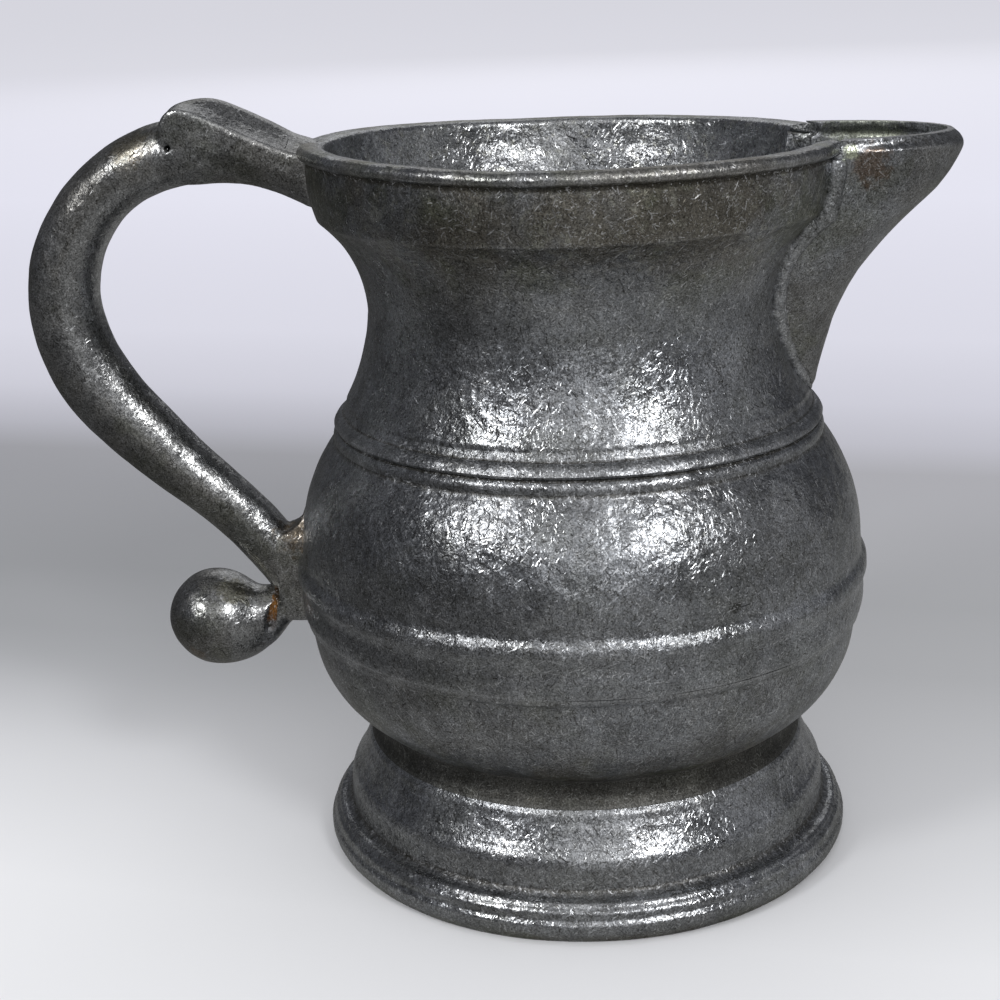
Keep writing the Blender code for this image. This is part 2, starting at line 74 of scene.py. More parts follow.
def finished(piece):  # back from edit mode, with the place in the mesh
    if bpy.context.mode != "OBJECT":
        bpy.ops.object.mode_set(mode="OBJECT")
    focus(piece)
    bpy.ops.object.transform_apply(location=True, rotation=True, scale=True)
    bpy.ops.object.shade_smooth()
    return piece


def modified(piece, kind, **settings):  # adds a modifier and applies it at once
    focus(piece)
    modifier = piece.modifiers.new(kind.title(), kind)
    for setting, value in settings.items():
        setattr(modifier, setting, value)
    bpy.ops.object.modifier_apply(modifier=modifier.name)
    return piece


def copied(piece, name):
    focus(piece)
    bpy.ops.object.duplicate()
    twin = bpy.context.object
    twin.name = name
    return twin


def removed(piece):
    bpy.data.objects.remove(piece)


def arcRun(start, end, bulge, step):  # points on an arc that bulges to the left of its run
    (x0, z0), (x1, z1) = start, end
    length = math.hypot(x1 - x0, z1 - z0)
    steps = max(1, round(length / step))
    sideX, sideZ = -(z1 - z0) / length, (x1 - x0) / length
    points = []
    for i in range(1, steps + 1):
        t = i / steps
        rise = 4 * bulge * t * (1 - t)
        points.append((x0 + (x1 - x0) * t + sideX * rise, z0 + (z1 - z0) * t + sideZ * rise))
    return points


def outline(start, *runs, step=0.7):  # a line through (radius, level, bulge) places
    points = [start]
    for run in runs:
        x, z = run[:2]
        bulge = run[2] if len(run) > 2 else 0
        points += arcRun(points[-1], (x, z), bulge, step)
    return points


def levelRadius(line, level):  # how far out a line of (radius, level) points is at a level
    for (r0, z0), (r1, z1) in zip(line, line[1:]):
        if min(z0, z1) <= level <= max(z0, z1) and z0 != z1:
            return r0 + (r1 - r0) * (level - z0) / (z1 - z0)
    return min(line, key=lambda point: abs(point[1] - level))[0]


def between(rows, level):  # the values of rows (level, value, ...) at a level
    for low, high in zip(rows, rows[1:]):
        if low[0] <= level <= high[0]:
            share = (level - low[0]) / (high[0] - low[0])
            return [a + (b - a) * share for a, b in zip(low[1:], high[1:])]
    return list(rows[0][1:] if level < rows[0][0] else rows[-1][1:])


def rounded(rows, count):  # a smooth line through rows of numbers, count steps from one row to the next
    line = []
    padded = [rows[0]] + list(rows) + [rows[-1]]
    for p0, p1, p2, p3 in zip(padded, padded[1:], padded[2:], padded[3:]):
        for i in range(count):
            t = i / count
            line.append([0.5 * (2 * b + (c - a) * t + (2 * a - 5 * b + 4 * c - d) * t * t
                                + (3 * b - a - 3 * c + d) * t ** 3)
                         for a, b, c, d in zip(p0, p1, p2, p3)])
    return line + [list(rows[-1])]


def turned(name, profile, steps=288):  # a line of (radius, level) points drawn, then spun about the axis
    deselectAll()
    bpy.ops.mesh.primitive_plane_add(size=mm, location=at(profile[0][0], 0, profile[0][1]))
    piece = bpy.context.object
    piece.name = name
    bpy.ops.object.mode_set(mode="EDIT")
    bpy.ops.mesh.select_all(action="SELECT")
    bpy.ops.mesh.merge(type="CENTER")
    for (x0, z0), (x1, z1) in zip(profile, profile[1:]):
        bpy.ops.mesh.extrude_vertices_move(
            TRANSFORM_OT_translate={"value": ((x1 - x0) * mm, 0, (z1 - z0) * mm)})
    bpy.ops.mesh.select_all(action="SELECT")
    bpy.ops.mesh.spin(steps=steps, angle=math.tau, center=at(0, 0, 0), axis=(0, 0, 1))
    bpy.ops.mesh.select_all(action="SELECT")
    bpy.ops.mesh.remove_doubles(threshold=2e-6)
    bpy.ops.mesh.normals_make_consistent(inside=False)
    return finished(piece)


def swept(name, rings, sides=40, upright=False):  # a closed tube through rings (x, z, thickness, width)
    tilts = []
    for i in range(len(rings)):
        before, after = rings[max(i - 1, 0)], rings[min(i + 1, len(rings) - 1)]
        tilts.append(0 if upright else math.atan2(after[1] - before[1], after[0] - before[0]))
    x, z, thickness, width = rings[0]
    deselectAll()
    bpy.ops.mesh.primitive_circle_add(vertices=sides, radius=0.5 * mm, fill_type="NGON",
                                      location=at(x, 0, z), rotation=(0, math.pi / 2 - tilts[0], 0))
    piece = bpy.context.object
    piece.name = name
    bpy.ops.object.transform_apply(location=True, rotation=True, scale=True)
    bpy.ops.object.mode_set(mode="EDIT")
    bpy.ops.mesh.select_all(action="SELECT")
    bpy.ops.transform.resize(value=(thickness, width, thickness), center_override=at(x, 0, z))
    for i in range(1, len(rings)):
        x1, z1, thickness1, width1 = rings[i]
        bpy.ops.mesh.extrude_region_move(
            TRANSFORM_OT_translate={"value": ((x1 - x) * mm, 0, (z1 - z) * mm)})
        bpy.ops.transform.rotate(value=tilts[i] - tilts[i - 1], orient_axis="Y",
                                 center_override=at(x1, 0, z1))
        change = thickness1 / thickness
        bpy.ops.transform.resize(value=(change, width1 / width, change), center_override=at(x1, 0, z1))
        x, z, thickness, width = x1, z1, thickness1, width1
    bpy.ops.mesh.select_all(action="SELECT")
    bpy.ops.mesh.normals_make_consistent(inside=False)
    return finished(piece)


def block(name, low, high):  # a plain box between two corners, used as a cutter or a start
    deselectAll()
    middle = [(a + b) / 2 for a, b in zip(low, high)]
    bpy.ops.mesh.primitive_cube_add(size=mm, location=at(*middle),
                                    scale=[b - a for a, b in zip(low, high)])
    piece = bpy.context.object
    piece.name = name
    bpy.ops.object.transform_apply(location=True, rotation=True, scale=True)
    return piece


def combined(piece, other, operation, keep=False):  # joins, cuts or keeps what two closed pieces share
    modified(piece, "BOOLEAN", operation=operation, object=other, solver="EXACT")
    if not keep:
        removed(other)
    return piece


def halved(piece, point, normal, keepAhead):  # cuts a piece through with a plane and closes the cut
    editing(piece)
    bpy.ops.mesh.bisect(plane_co=point, plane_no=normal, use_fill=True,
                        clear_inner=keepAhead, clear_outer=not keepAhead)
    bpy.ops.object.mode_set(mode="OBJECT")
    return piece


def grown(piece, size, strength, depth=2):  # the unevenness of a sand casting
    grain = bpy.data.textures.new(piece.name + "Grain", "CLOUDS")
    grain.noise_scale = size * mm
    grain.noise_depth = depth
    return modified(piece, "DISPLACE", texture=grain, texture_coords="LOCAL",
                    strength=strength * mm, mid_level=0.5)


def stroke(piece, path, reach, depth):  # sinks a soft groove along a path, or a dent at one place
    mesh = piece.data
    count = len(mesh.vertices)
    places = np.empty(count * 3)
    normals = np.empty(count * 3)
    mesh.vertices.foreach_get("co", places)
    mesh.vertices.foreach_get("normal", normals)
    places = places.reshape(-1, 3)
    normals = normals.reshape(-1, 3)
    nearest = np.full(count, 1e9)
    points = [np.array(at(*point)) for point in path]
    for start, end in zip(points, points[1:] or points):
        run = end - start
        share = np.clip((places - start) @ run / max(run @ run, 1e-12), 0, 1)
        nearest = np.minimum(nearest, np.linalg.norm(places - start - share[:, None] * run, axis=1))
    facing = normals @ normals[np.argmin(np.linalg.norm(places - points[0], axis=1))]
    fall = np.clip(1 - nearest / (reach * mm), 0, 1) * (facing > 0)
    fall = fall * fall * (3 - 2 * fall)
    places -= normals * (depth * mm * fall)[:, None]
    mesh.vertices.foreach_set("co", places.ravel())
    mesh.update()


# breadth and height of the unevenness that a sand casting has
castingLook = {"waves": 9, "height": 0.2, "fineWaves": 2.6, "fineHeight": 0.08}

bodyLook = {
    # radius, level and bulge of the turned line, from the lip downwards
    "lipAndBand": [
        (30.4, 91.2), (30.8, 91.95, 0.12), (32.7, 92.15, 0.06), (33.8, 91.4, 0.22), (33.6, 90.75, 0.12),
        (32.95, 90.4, 0.04), (32.85, 90.0, -0.06), (32.9, 89.2, 0.06), (32.0, 84.3, 0.22), (31.6, 83.7, 0.1)],
    "neckAndBeads": [
        (26.2, 72.0, -1.35), (29.6, 60.7, -0.6), (29.7, 60.1, -0.05), (30.15, 59.2, 0.02),
        (31.35, 57.85, 0.22), (31.15, 57.5, 0.06), (30.85, 57.38, 0), (31.0, 57.2, -0.04), (31.5, 56.3, 0.12),
        (31.5, 55.75, 0.04), (31.62, 55.45, -0.04)],
    "bellyAndBelt": [
        (36.45, 42.0, 1.15), (36.55, 40.4, 0.02), (36.7, 39.9, -0.06), (37.3, 38.7, 0.1), (37.35, 38.0, 0.04),
        (36.85, 36.2, -0.08), (36.85, 33.2, 0.13), (36.7, 32.9, 0.04)],
    "inside": [  # from the belt up to the lip again
        (34.4, 32.9), (34.4, 39.8), (29.1, 55.8, -1.2), (23.8, 72.0, 1.0), (28.9, 84.0, 0.6),
        (30.1, 89.0, 0.05), (30.4, 91.2)],
    "lipClimb": 0.8,  # how much higher the lip is at the handle
    "climbReach": 22,  # and over how much of the jug's length it climbs
    # places, reach and depth of the knocks
    "knocks": [
        ([(-14.6, -32.4, 49.0), (-12.3, -33.5, 48.4), (-9.6, -34.4, 48.3)], 0.55, 0.14),  # a crease
        ([(-10.3, -34.6, 46.0)], 1.3, 0.18),
        ([(-17.5, -30.5, 47.6)], 1.2, 0.12),
        ([(4.5, -34.3, 47.2)], 1.0, 0.1),
        ([(17.6, -31.7, 42.0)], 0.8, 0.16),
        ([(-22.1, -24.1, 87.0)], 1.1, 0.14),  # on the band
        ([(-13.0, -30.2, 86.5)], 1.3, 0.12),
        ([(-4.0, -32.6, 88.6), (-2.2, -32.8, 88.2)], 0.8, 0.12),
        ([(-26.6, -20.8, 91.4)], 1.0, 0.2),  # the lip's wavy edge
        ([(-20.5, -27.0, 91.6)], 1.3, 0.22),
        ([(-12.0, -31.5, 91.5)], 1.1, 0.16),
        ([(-5.0, -33.3, 91.4)], 0.9, 0.2),
        ([(3.0, -33.6, 91.5)], 1.2, 0.14),
        ([(9.0, -32.5, 91.4)], 0.8, 0.2),
        ([(-8.5, -36.3, 38.9)], 0.8, 0.22),  # on the belt's ridge
        ([(-2.0, -37.3, 39.1)], 1.0, 0.16),
        ([(2.9, -37.2, 38.8)], 0.8, 0.2),
        ([(9.6, -36.0, 38.9)], 0.9, 0.2),
    ],
    "finish": {
        # inside: painted reflection that lightens the inner walls
        "patinaAbove": (72, 86), "patina": 0.2, "inside": 0.1, "dimples": 1.4,
        "scuffed": [(38.0, 39.8), (57.4, 60.2)],
        "stainsAndPaintedLight": [((17.6, -31.7, 42.0), 0.95, (0.08, 0.08, 0.075), 0.9),  # dark dent on the belly
                   ((-22.1, -24.1, 87.0), 1.4, (0.55, 0.56, 0.52), 0.6),
                   ((31.0, 12.0, 91.0), 3.0, (0.3, 0.31, 0.29), 0.6)],
    },
}
lipAndBand = outline(*bodyLook["lipAndBand"], step=0.45)
neckAndBeads = outline(lipAndBand[-1], *bodyLook["neckAndBeads"], step=0.3)
bellyAndBelt = outline(neckAndBeads[-1], *bodyLook["bellyAndBelt"], step=0.5)
upperLine = lipAndBand + neckAndBeads[1:] + bellyAndBelt[1:]


def upperBody():
    inside = outline(upperLine[-1], *bodyLook["inside"], step=1.1)
    piece = turned("upperBody", upperLine + inside[1:])
    for vertex in piece.data.vertices:  # the lip climbs a little towards the handle
        x, y, z = vertex.co / mm
        share = min(max((axisX - 8 - x) / bodyLook["climbReach"], 0), 1) * min(max((z - 86) / 4, 0), 1)
        vertex.co.z += bodyLook["lipClimb"] * mm * share
    return piece


bowlLook = {
    "outside": [(36.65, 32.85), (36.55, 32.2, 0.06), (36.1, 31.8, 0.03), (35.95, 31.45, -0.04),
                (28.0, 18.4, 2.1), (0, 13.8, 1.4)],
    "inside": [(0, 16.2), (26.3, 20.3, -1.4), (34.35, 32.9, -1.9), (36.65, 32.85)],
    "finish": {"patina": 0.35, "patinaBelow": (27, 19), "roughness": 0.32},
}
bowlLine = outline(*bowlLook["outside"], step=0.5)
bodyLine = upperLine + bowlLine


def lowerBowl():
    inside = outline(*bowlLook["inside"], step=1.1)
    return turned("lowerBowl", inside + bowlLine[1:])


footLook = {
    # down the outside, across the rim that it stands on, and up the hollow
    "shell": [(27.6, 17.0), (28.3, 16.0, -0.1), (28.85, 15.0, -0.06), (29.1, 14.7, 0.02), (29.4, 14.0, 0.07),
              (29.9, 12.9, -0.03), (30.7, 11.2, -0.02), (31.15, 10.4, 0.02), (31.85, 9.1, 0.11),
              (32.0, 8.4, 0.04), (32.1, 5.95, -0.03), (33.5, 5.15, -0.2), (33.95, 4.75, 0.1),
              (34.1, 4.55, -0.03), (34.6, 3.75, 0.13), (34.75, 3.1, -0.06), (35.1, 2.2, 0.13),
              (34.95, 1.4, 0.05), (34.5, 0.7, 0.05), (33.9, 0, 0.04), (30.9, 0), (29.4, 6.6, 0.3),
              (29.4, 8.6), (25.6, 14.6, -0.5), (27.6, 17.0)],
    "evenness": 0.7,  # its share of the body's unevenness
    "finish": {"light": (0.51, 0.53, 0.565, 1), "patina": 0.2, "patinaBelow": (2.0, 0.3), "roughness": 0.25,
               "scuffed": [(13.4, 16.5)]},
}


def turnedFoot():
    return turned("turnedFoot", outline(*footLook["shell"], step=0.35))


footSolderLook = {
    "ring": [(26.0, 18.3), (28.25, 18.7), (28.1, 17.2, -0.12), (28.5, 15.9, -0.08), (28.95, 15.1),
             (26.0, 14.9), (26.0, 18.3)],
    "finish": {"dark": (0.05, 0.05, 0.047, 1), "light": (0.11, 0.11, 0.105, 1),
               "fleckAndPaintedSheen": (0.25, 0.25, 0.24, 1), "patina": 0.1, "facets": 0.3, "roughness": 0.5},
}


def footSolder():
    return turned("footSolder", outline(*footSolderLook["ring"], step=0.35))


spoutLook = {
    # level, and how far out the nose is there
    "nose": [(57.6, 29.6), (59.2, 29.9), (61.3, 30.35), (63.4, 30.8), (65.5, 31.4), (67.5, 32.0),
             (69.6, 32.6), (71.6, 33.5), (73.6, 34.5), (75.6, 35.7), (77.6, 37.3), (79.5, 38.9), (81.5, 40.8),
             (83.4, 42.8), (85.3, 44.9), (87.2, 46.4), (89.1, 47.5), (90.2, 48.0), (91.4, 48.3), (92.2, 48.2)],
    "halfWidth": [(57.6, 0.8), (60.3, 2.6), (62, 5.0), (64, 7.1), (68, 8.9), (72, 10.2), (76, 11.5),
                  (80, 12.4), (84, 12.9), (88, 13.0), (92.2, 13.1)],
    "wall": 2.0,
    "rim": 92.2,  # the level at which it is cut flat
    "rimEdge": 0.13,  # and how wide the edge of the cut is taken off
    "tipRound": 0.3,
    "sides": 72,
    "levelStep": 0.7,
    "voxel": 0.25,
    "finish": {
        # inside: painted reflection that lightens the trough's inner walls
        "patina": 0.5, "grain": 1.3, "facets": 0.8, "flecks": 0.35, "inside": 0.3, "roughness": 0.33,
        "proud": 0.06,
        "stainsAndPaintedLight": [((35.0, -13.0, 89.2), 3.2, (0.17, 0.115, 0.075), 0.75),  # rusty patch under the rim
                   ((38.5, 11.0, 91.0), 7.0, (0.6, 0.64, 0.48), 0.6),  # pale green in the trough: a green tint, its paleness a painted reflection on the far wall
                   # pale green at the notch: a green tint with a painted highlight on its facet
                   ((32.5, -13.1, 91.0), 1.2, (0.6, 0.64, 0.48), 0.8)],
    },
}


def spoutSolid(name, inset, first, last, flare=1.0):  # a half oval with a square back, pushed up by levels
    count = round((last - first) / spoutLook["levelStep"])
    rows = []
    for i in range(count + 1):
        level = first + (last - first) * i / count
        width = max(between(spoutLook["halfWidth"], level)[0] - inset, 0.4)
        nose = between(spoutLook["nose"], level)[0] - inset * 1.1
        if not inset:
            nose -= spoutLook["tipRound"] * max(level - 90, 0) ** 2  # rounded off on the outside
        radius = levelRadius(bodyLine, min(level, 91.3))
        start = min(math.sqrt(radius ** 2 - width ** 2) + 0.9, nose - 0.9)
        rows.append((level, start, nose - start, width))
    level, start, reach, width = rows[0]
    deselectAll()
    bpy.ops.mesh.primitive_circle_add(vertices=spoutLook["sides"], radius=mm, location=at(start, 0, level))
    piece = bpy.context.object
    piece.name = name
    bpy.ops.object.transform_apply(location=True, rotation=True, scale=True)
    selectedWhere(piece, lambda x, y, z: x < start - 0.001)
    bpy.ops.mesh.delete(type="VERT")
    bpy.ops.object.mode_set(mode="OBJECT")
    selectedWhere(piece, lambda x, y, z: x < start + 0.001)  # the open half's two ends, drawn back
    for back, wider in ((0.04, 1.0), (0.05, 1 + 0.1 * (flare - 1)), (0.05, 1 + 0.3 * (flare - 1)),
                        (0.04, 1 + 0.6 * (flare - 1)), (0.82, 1.0)):
        bpy.ops.mesh.extrude_vertices_move(TRANSFORM_OT_translate={"value": (-back * mm, 0, 0)})
        bpy.ops.transform.resize(value=(1, wider, 1), center_override=at(start, 0, level))
    bpy.ops.mesh.select_all(action="SELECT")
    bpy.ops.mesh.edge_face_add()
    bpy.ops.transform.resize(value=(reach, width, 1), center_override=at(start, 0, level))
    for row in rows[1:]:
        bpy.ops.mesh.extrude_region_move(
            TRANSFORM_OT_translate={"value": ((row[1] - start) * mm, 0, (row[0] - level) * mm)})
        bpy.ops.transform.resize(value=(row[2] / reach, row[3] / width, 1),
                                 center_override=at(row[1], 0, row[0]))
        level, start, reach, width = row
    bpy.ops.mesh.select_all(action="SELECT")
    bpy.ops.mesh.normals_make_consistent(inside=False)
    return finished(piece)


def troughCutter(flare=1.0):
    return spoutSolid("trough", spoutLook["wall"], 63.0, 95.0, flare)


def pouringSpout():
    piece = spoutSolid("pouringSpout", 0, 57.6, 93.7)
    modified(piece, "REMESH", mode="VOXEL", voxel_size=spoutLook["voxel"] * mm)
    combined(piece, troughCutter(), "DIFFERENCE")
    core = turned("spoutCore", [(0, 99), (32.72, 99)]
                  + [(r + 0.02, z) for r, z in bodyLine if r > 32.7 or z < 90.9][:-1] + [(0, 13.7)], 160)
    combined(piece, core, "DIFFERENCE")
    notch = turned("notchCore", [(0, 99), (33.75, 99), (33.75, 91.0), (0, 91.0)], 160)
    halved(notch, at(0, 0, 0), (0, 1, 0), False)
    combined(piece, notch, "DIFFERENCE")  # the rim stops short of the lip on the near side only
    modified(piece, "REMESH", mode="VOXEL", voxel_size=0.24 * mm)
    modified(piece, "SMOOTH", factor=0.5, iterations=2)
    halved(piece, at(0, 0, spoutLook["rim"]), (0, 0, 1), False)
    modified(piece, "BEVEL", width=spoutLook["rimEdge"] * mm, segments=2, limit_method="ANGLE",
             angle_limit=math.radians(62))
    return finished(piece)


seamLook = {
    "radius": [(60, 0.3), (62, 0.6), (64, 0.95), (70, 1.3), (80, 1.35), (84, 1.6), (89, 1.6), (92, 1.0)],
    "top": 90.3,
    "toe": 60.2,
    "levelStep": 1.055,
    "lumps": [(3.5, 0.5), (0.7, 0.16)],  # their breadth and height
    "finish": {"patina": 0.25, "grain": 1.6, "roughness": 0.38,
               # pale green at the notch: a green tint with a painted highlight on its facet
               "stainsAndPaintedLight": [((32.2, -13.0, 90.5), 1.2, (0.5, 0.53, 0.4), 0.7)]},
}


def spoutSeam():  # the lumpy ridge where the spout was soldered on
    near = []
    for i in range(29):
        level = seamLook["top"] - seamLook["levelStep"] * i
        size = between(seamLook["radius"], level)[0]
        width = between(spoutLook["halfWidth"], level)[0]
        radius = levelRadius(bodyLine, level)
        near.append((math.sqrt(radius ** 2 - width ** 2) + 0.35 * size, -width + 0.55 * size, level))
    toe = (levelRadius(bodyLine, seamLook["toe"]) - 0.25, 0, seamLook["toe"])
    line = near + [toe] + [(x, -y, z) for x, y, z in reversed(near[3:])]
    deselectAll()
    bpy.ops.curve.primitive_nurbs_path_add(location=(0, 0, 0))
    path = bpy.context.object
    path.name = "spoutSeam"
    curve = path.data
    curve.splines.clear()
    spline = curve.splines.new("POLY")
    spline.points.add(len(line) - 1)
    for point, place in zip(spline.points, line):
        point.co = (*at(*place), 1)
        point.radius = between(seamLook["radius"], place[2])[0]
    curve.bevel_depth = mm
    curve.bevel_resolution = 6
    curve.use_fill_caps = True
    bpy.ops.object.convert(target="MESH")
    piece = bpy.context.object
    editing(piece)
    bpy.ops.mesh.remove_doubles(threshold=1e-7)
    bpy.ops.mesh.normals_make_consistent(inside=False)
    bpy.ops.object.mode_set(mode="OBJECT")
    modified(piece, "REMESH", mode="VOXEL", voxel_size=0.22 * mm)
    modified(piece, "SMOOTH", factor=0.5, iterations=3)
    return finished(piece)


# the handle is modelled as one casting and parted into its pieces afterwards
armLook = {
    # x and z of the arm's middle line, with its thickness and width there
    "middle": [
        (-45.0, 92.4, 8.2, 9.8), (-48.0, 92.2, 8.2, 9.8), (-50.3, 91.9, 8.3, 9.7), (-53.0, 91.1, 8.2, 9.6),
        (-56.0, 89.7, 8.1, 9.5), (-59.0, 87.5, 8.1, 9.5), (-61.7, 84.5, 8.3, 9.4), (-63.8, 81.0, 8.7, 9.4),
        (-65.0, 77.5, 8.9, 9.4), (-65.4, 73.2, 9.1, 9.3), (-64.6, 68.5, 9.5, 9.2), (-62.9, 64.1, 9.8, 9.1),
        (-60.2, 60.0, 9.6, 8.9), (-56.6, 56.0, 9.1, 8.5), (-52.5, 51.9, 8.3, 8.1), (-48.6, 48.3, 7.7, 7.7),
        (-45.1, 44.9, 7.4, 7.3), (-42.1, 41.5, 7.3, 7.1), (-39.8, 38.1, 6.7, 6.8), (-38.2, 35.0, 6.1, 6.6)],
    "voxel": 0.28,
    "waves": (7, 0.3),  # breadth and height of its unevenness
    "crevice": [(-40.7, -2.4, 34.3), (-40.9, -3.3, 33.2), (-41.3, -3.6, 31.4), (-41.6, -3.6, 29.6)],
    "pit": [(-49.4, -4.8, 93.1)],
    "finish": {
        "patina": 0.5, "facets": 0.75, "flecks": 0.35, "roughness": 0.28, "light": (0.47, 0.475, 0.48, 1),
        "stainsAndPaintedLight": [((-51.4, -4.8, 26.5), 1.7, (0.33, 0.24, 0.15), 0.4),  # brown under the ball
                   ((-46.0, -3.2, 35.0), 2.8, (0.26, 0.24, 0.13), 0.45),
                   ((-36.5, -2.5, 43.0), 4.2, (0.17, 0.13, 0.085), 0.75),
                   ((-54.5, -3.5, 94.0), 4.0, (0.3, 0.25, 0.17), 0.4),
                   ((-49.4, -4.4, 93.1), 0.7, (0.01, 0.01, 0.01), 1.0)],  # painted shade in the pit
    },
}

thumbLook = {
    # x, underside, near edge, ridge and half width, from the arm to the lip
    "rows": [(-50.4, 90.2, 95.3, 95.8, 4.2), (-50.1, 89.4, 96.3, 96.8, 4.55), (-49.5, 88.8, 97.1, 97.6, 4.7),
             (-48.4, 88.4, 97.75, 98.15, 4.8), (-46.8, 88.3, 97.6, 98.55, 4.9), (-45.0, 88.4, 96.9, 98.7, 5.0),
             (-42.7, 88.4, 95.9, 98.25, 5.15), (-39.7, 88.0, 94.5, 96.9, 5.4), (-36.7, 87.1, 93.2, 95.4, 5.7),
             (-34.4, 86.1, 92.4, 94.1, 6.0), (-32.6, 85.2, 92.0, 93.5, 6.2), (-31.4, 84.9, 91.8, 93.0, 6.2)],
    # half of its end, as shares of the half width and the height
    "section": [(0.52, 0), (0.86, 0.1), (1, 0.25), (1, 0.46), (0.97, 0.5), (0.85, 0.53), (0.5, 0.72),
                (0.2, 0.96), (0, 1)],
}


def thumbBlock():  # a gabled block drawn from its end and pushed along towards the lip
    rows = rounded(thumbLook["rows"], 3)
    x, under, edge, ridge, half = rows[0]
    section = thumbLook["section"] + [(-a, b) for a, b in reversed(thumbLook["section"][:-1])]
    deselectAll()
    bpy.ops.mesh.primitive_plane_add(size=mm, location=at(x, section[0][0] * half, under))
    piece = bpy.context.object
    piece.name = "thumbBlock"
    bpy.ops.object.mode_set(mode="EDIT")
    bpy.ops.mesh.select_all(action="SELECT")
    bpy.ops.mesh.merge(type="CENTER")
    for (a0, b0), (a1, b1) in zip(section, section[1:]):
        bpy.ops.mesh.extrude_vertices_move(TRANSFORM_OT_translate={
            "value": (0, (a1 - a0) * half * mm, (b1 - b0) * (ridge - under) * mm)})
    bpy.ops.mesh.select_all(action="SELECT")
    bpy.ops.mesh.edge_face_add()
    for x1, under1, edge1, ridge1, half1 in rows[1:]:
        bpy.ops.mesh.extrude_region_move(
            TRANSFORM_OT_translate={"value": ((x1 - x) * mm, 0, (under1 - under) * mm)})
        bpy.ops.transform.resize(value=(1, half1 / half, (ridge1 - under1) / (ridge - under)),
                                 center_override=at(x1, 0, under1))
        x, under, ridge, half = x1, under1, ridge1, half1
    bpy.ops.mesh.select_all(action="SELECT")
    bpy.ops.mesh.normals_make_consistent(inside=False)
    finished(piece)
    for vertex in piece.data.vertices:  # the section's half-way corners go to the near edge's level
        under, edge, ridge, _ = between(rows, vertex.co.x / mm - axisX)
        share = (vertex.co.z / mm - under) / (ridge - under)
        tall = under + share * 2 * (edge - under) if share < 0.5 else edge + (share * 2 - 1) * (ridge - edge)
        vertex.co.z = tall * mm
    return piece


strutLook = {
    # level, how far out its front is there, and its half width
    "rows": [(30.0, -38.6, 2.3), (30.5, -39.5, 2.8), (31.4, -40.1, 3.1), (33.0, -40.3, 3.3),
             (35.0, -40.2, 3.35), (37.5, -40.2, 3.4), (40.0, -39.9, 3.4), (41.3, -39.6, 3.1),
             (42.2, -39.2, 2.7), (42.7, -38.6, 2.3), (43.1, -37.7, 2.0), (43.7, -37.0, 1.7),
             (44.6, -36.5, 1.4), (45.6, -36.2, 1.0)],
    "back": -34.0,  # inside the belly's wall
}


def strutBlock():  # the upright pad that the arm runs down into
    back = strutLook["back"]
    z, front, half = strutLook["rows"][0]
    piece = block("strutBlock", (front, -half, z), (back, half, z + 0.1))
    top = z + 0.07  # only the first face lies above this
    for z1, front1, half1 in strutLook["rows"][1:]:
        selectedWhere(piece, lambda x, y, level: level > top - 0.02)
        bpy.ops.mesh.extrude_region_move(TRANSFORM_OT_translate={"value": (0, 0, (z1 - z) * mm)})
        bpy.ops.transform.resize(value=((back - front1) / (back - front), half1 / half, 1),
                                 center_override=at(back, 0, z1))
        bpy.ops.object.mode_set(mode="OBJECT")
        z, front, half = z1, front1, half1
        top = z
    return finished(piece)


ballLook = {
    # x and z of its middle, with its thickness and width there, from the far end to the neck in the pad
    "rings": [
        (-55.6, 30.3, 0.9, 0.9), (-55.4, 30.35, 3.6, 3.6), (-54.9, 30.3, 6.0, 6.0), (-54.3, 30.3, 7.8, 7.8),
        (-53.4, 30.3, 9.7, 9.7), (-52.3, 30.3, 11.3, 11.3), (-50.8, 30.25, 12.5, 12.5),
        (-49.2, 30.2, 12.95, 12.9), (-47.7, 30.1, 12.8, 12.6), (-46.2, 29.95, 12.0, 11.8),
        (-44.8, 29.75, 10.6, 10.4), (-43.6, 29.7, 9.4, 9.0), (-42.5, 30.05, 8.5, 8.0),
        (-41.4, 30.45, 7.7, 7.2), (-40.2, 31.1, 6.3, 6.5), (-39.2, 31.65, 4.9, 5.9), (-38.0, 32.1, 3.8, 5.2),
        (-36.3, 32.4, 2.8, 4.6)],
    "rustyFinish": {"brown": (0.30, 0.125, 0.015, 1), "green": (0.25, 0.11, 0.015, 1), "patina": 0.3,
                    "patinaAbove": (30.1, 30.9), "rust": 1.0, "roughness": 0.5},
}


def ballBlank():  # the pear-shaped ball, drawn out into a neck that climbs to the pad
    return swept("ballBlank", rounded(ballLook["rings"], 3), 56, upright=True)


def handleCasting():
    arm = swept("handleCasting", rounded(armLook["middle"], 4))
    parts = [arm, thumbBlock(), strutBlock(), ballBlank()]
    deselectAll()
    for part in parts:
        part.select_set(True)
    bpy.context.view_layer.objects.active = arm
    bpy.ops.object.join()
    modified(arm, "REMESH", mode="VOXEL", voxel_size=armLook["voxel"] * mm)
    modified(arm, "SMOOTH", factor=0.5, iterations=5)
    return arm


partings = {
    # opposite corners of the boxes that take out the thumb rest, what is below the arm, and the ball
    "thumb": ((-51.1, -12, 80), (-20, 12, 105)),
    "below": ((-75, -12, 10), (-20, 12, 43.4)),
    "pad": ((-38.4, -11, 30), (-22, 11, 48)),
    "ball": ((-62, -9, 20), (-38, 9, 35.0)),
    # a point on the plane that cuts each joint, and the way that the plane faces
    "lip": ((-34.8, 0, 0), (1, 0, 0)),
    "belly": ((-37.6, 0, 0), (1, 0, 0)),
    "pocket": ((-40.6, 0, 31.6), (0.994, 0, -0.11)),
    "neck": ((-41.75, 0, 31.6), (0.963, 0, -0.27)),
}


def partedAt(piece, joint, keepAhead):
    point, normal = partings[joint]
    return halved(piece, at(*point), normal, keepAhead)


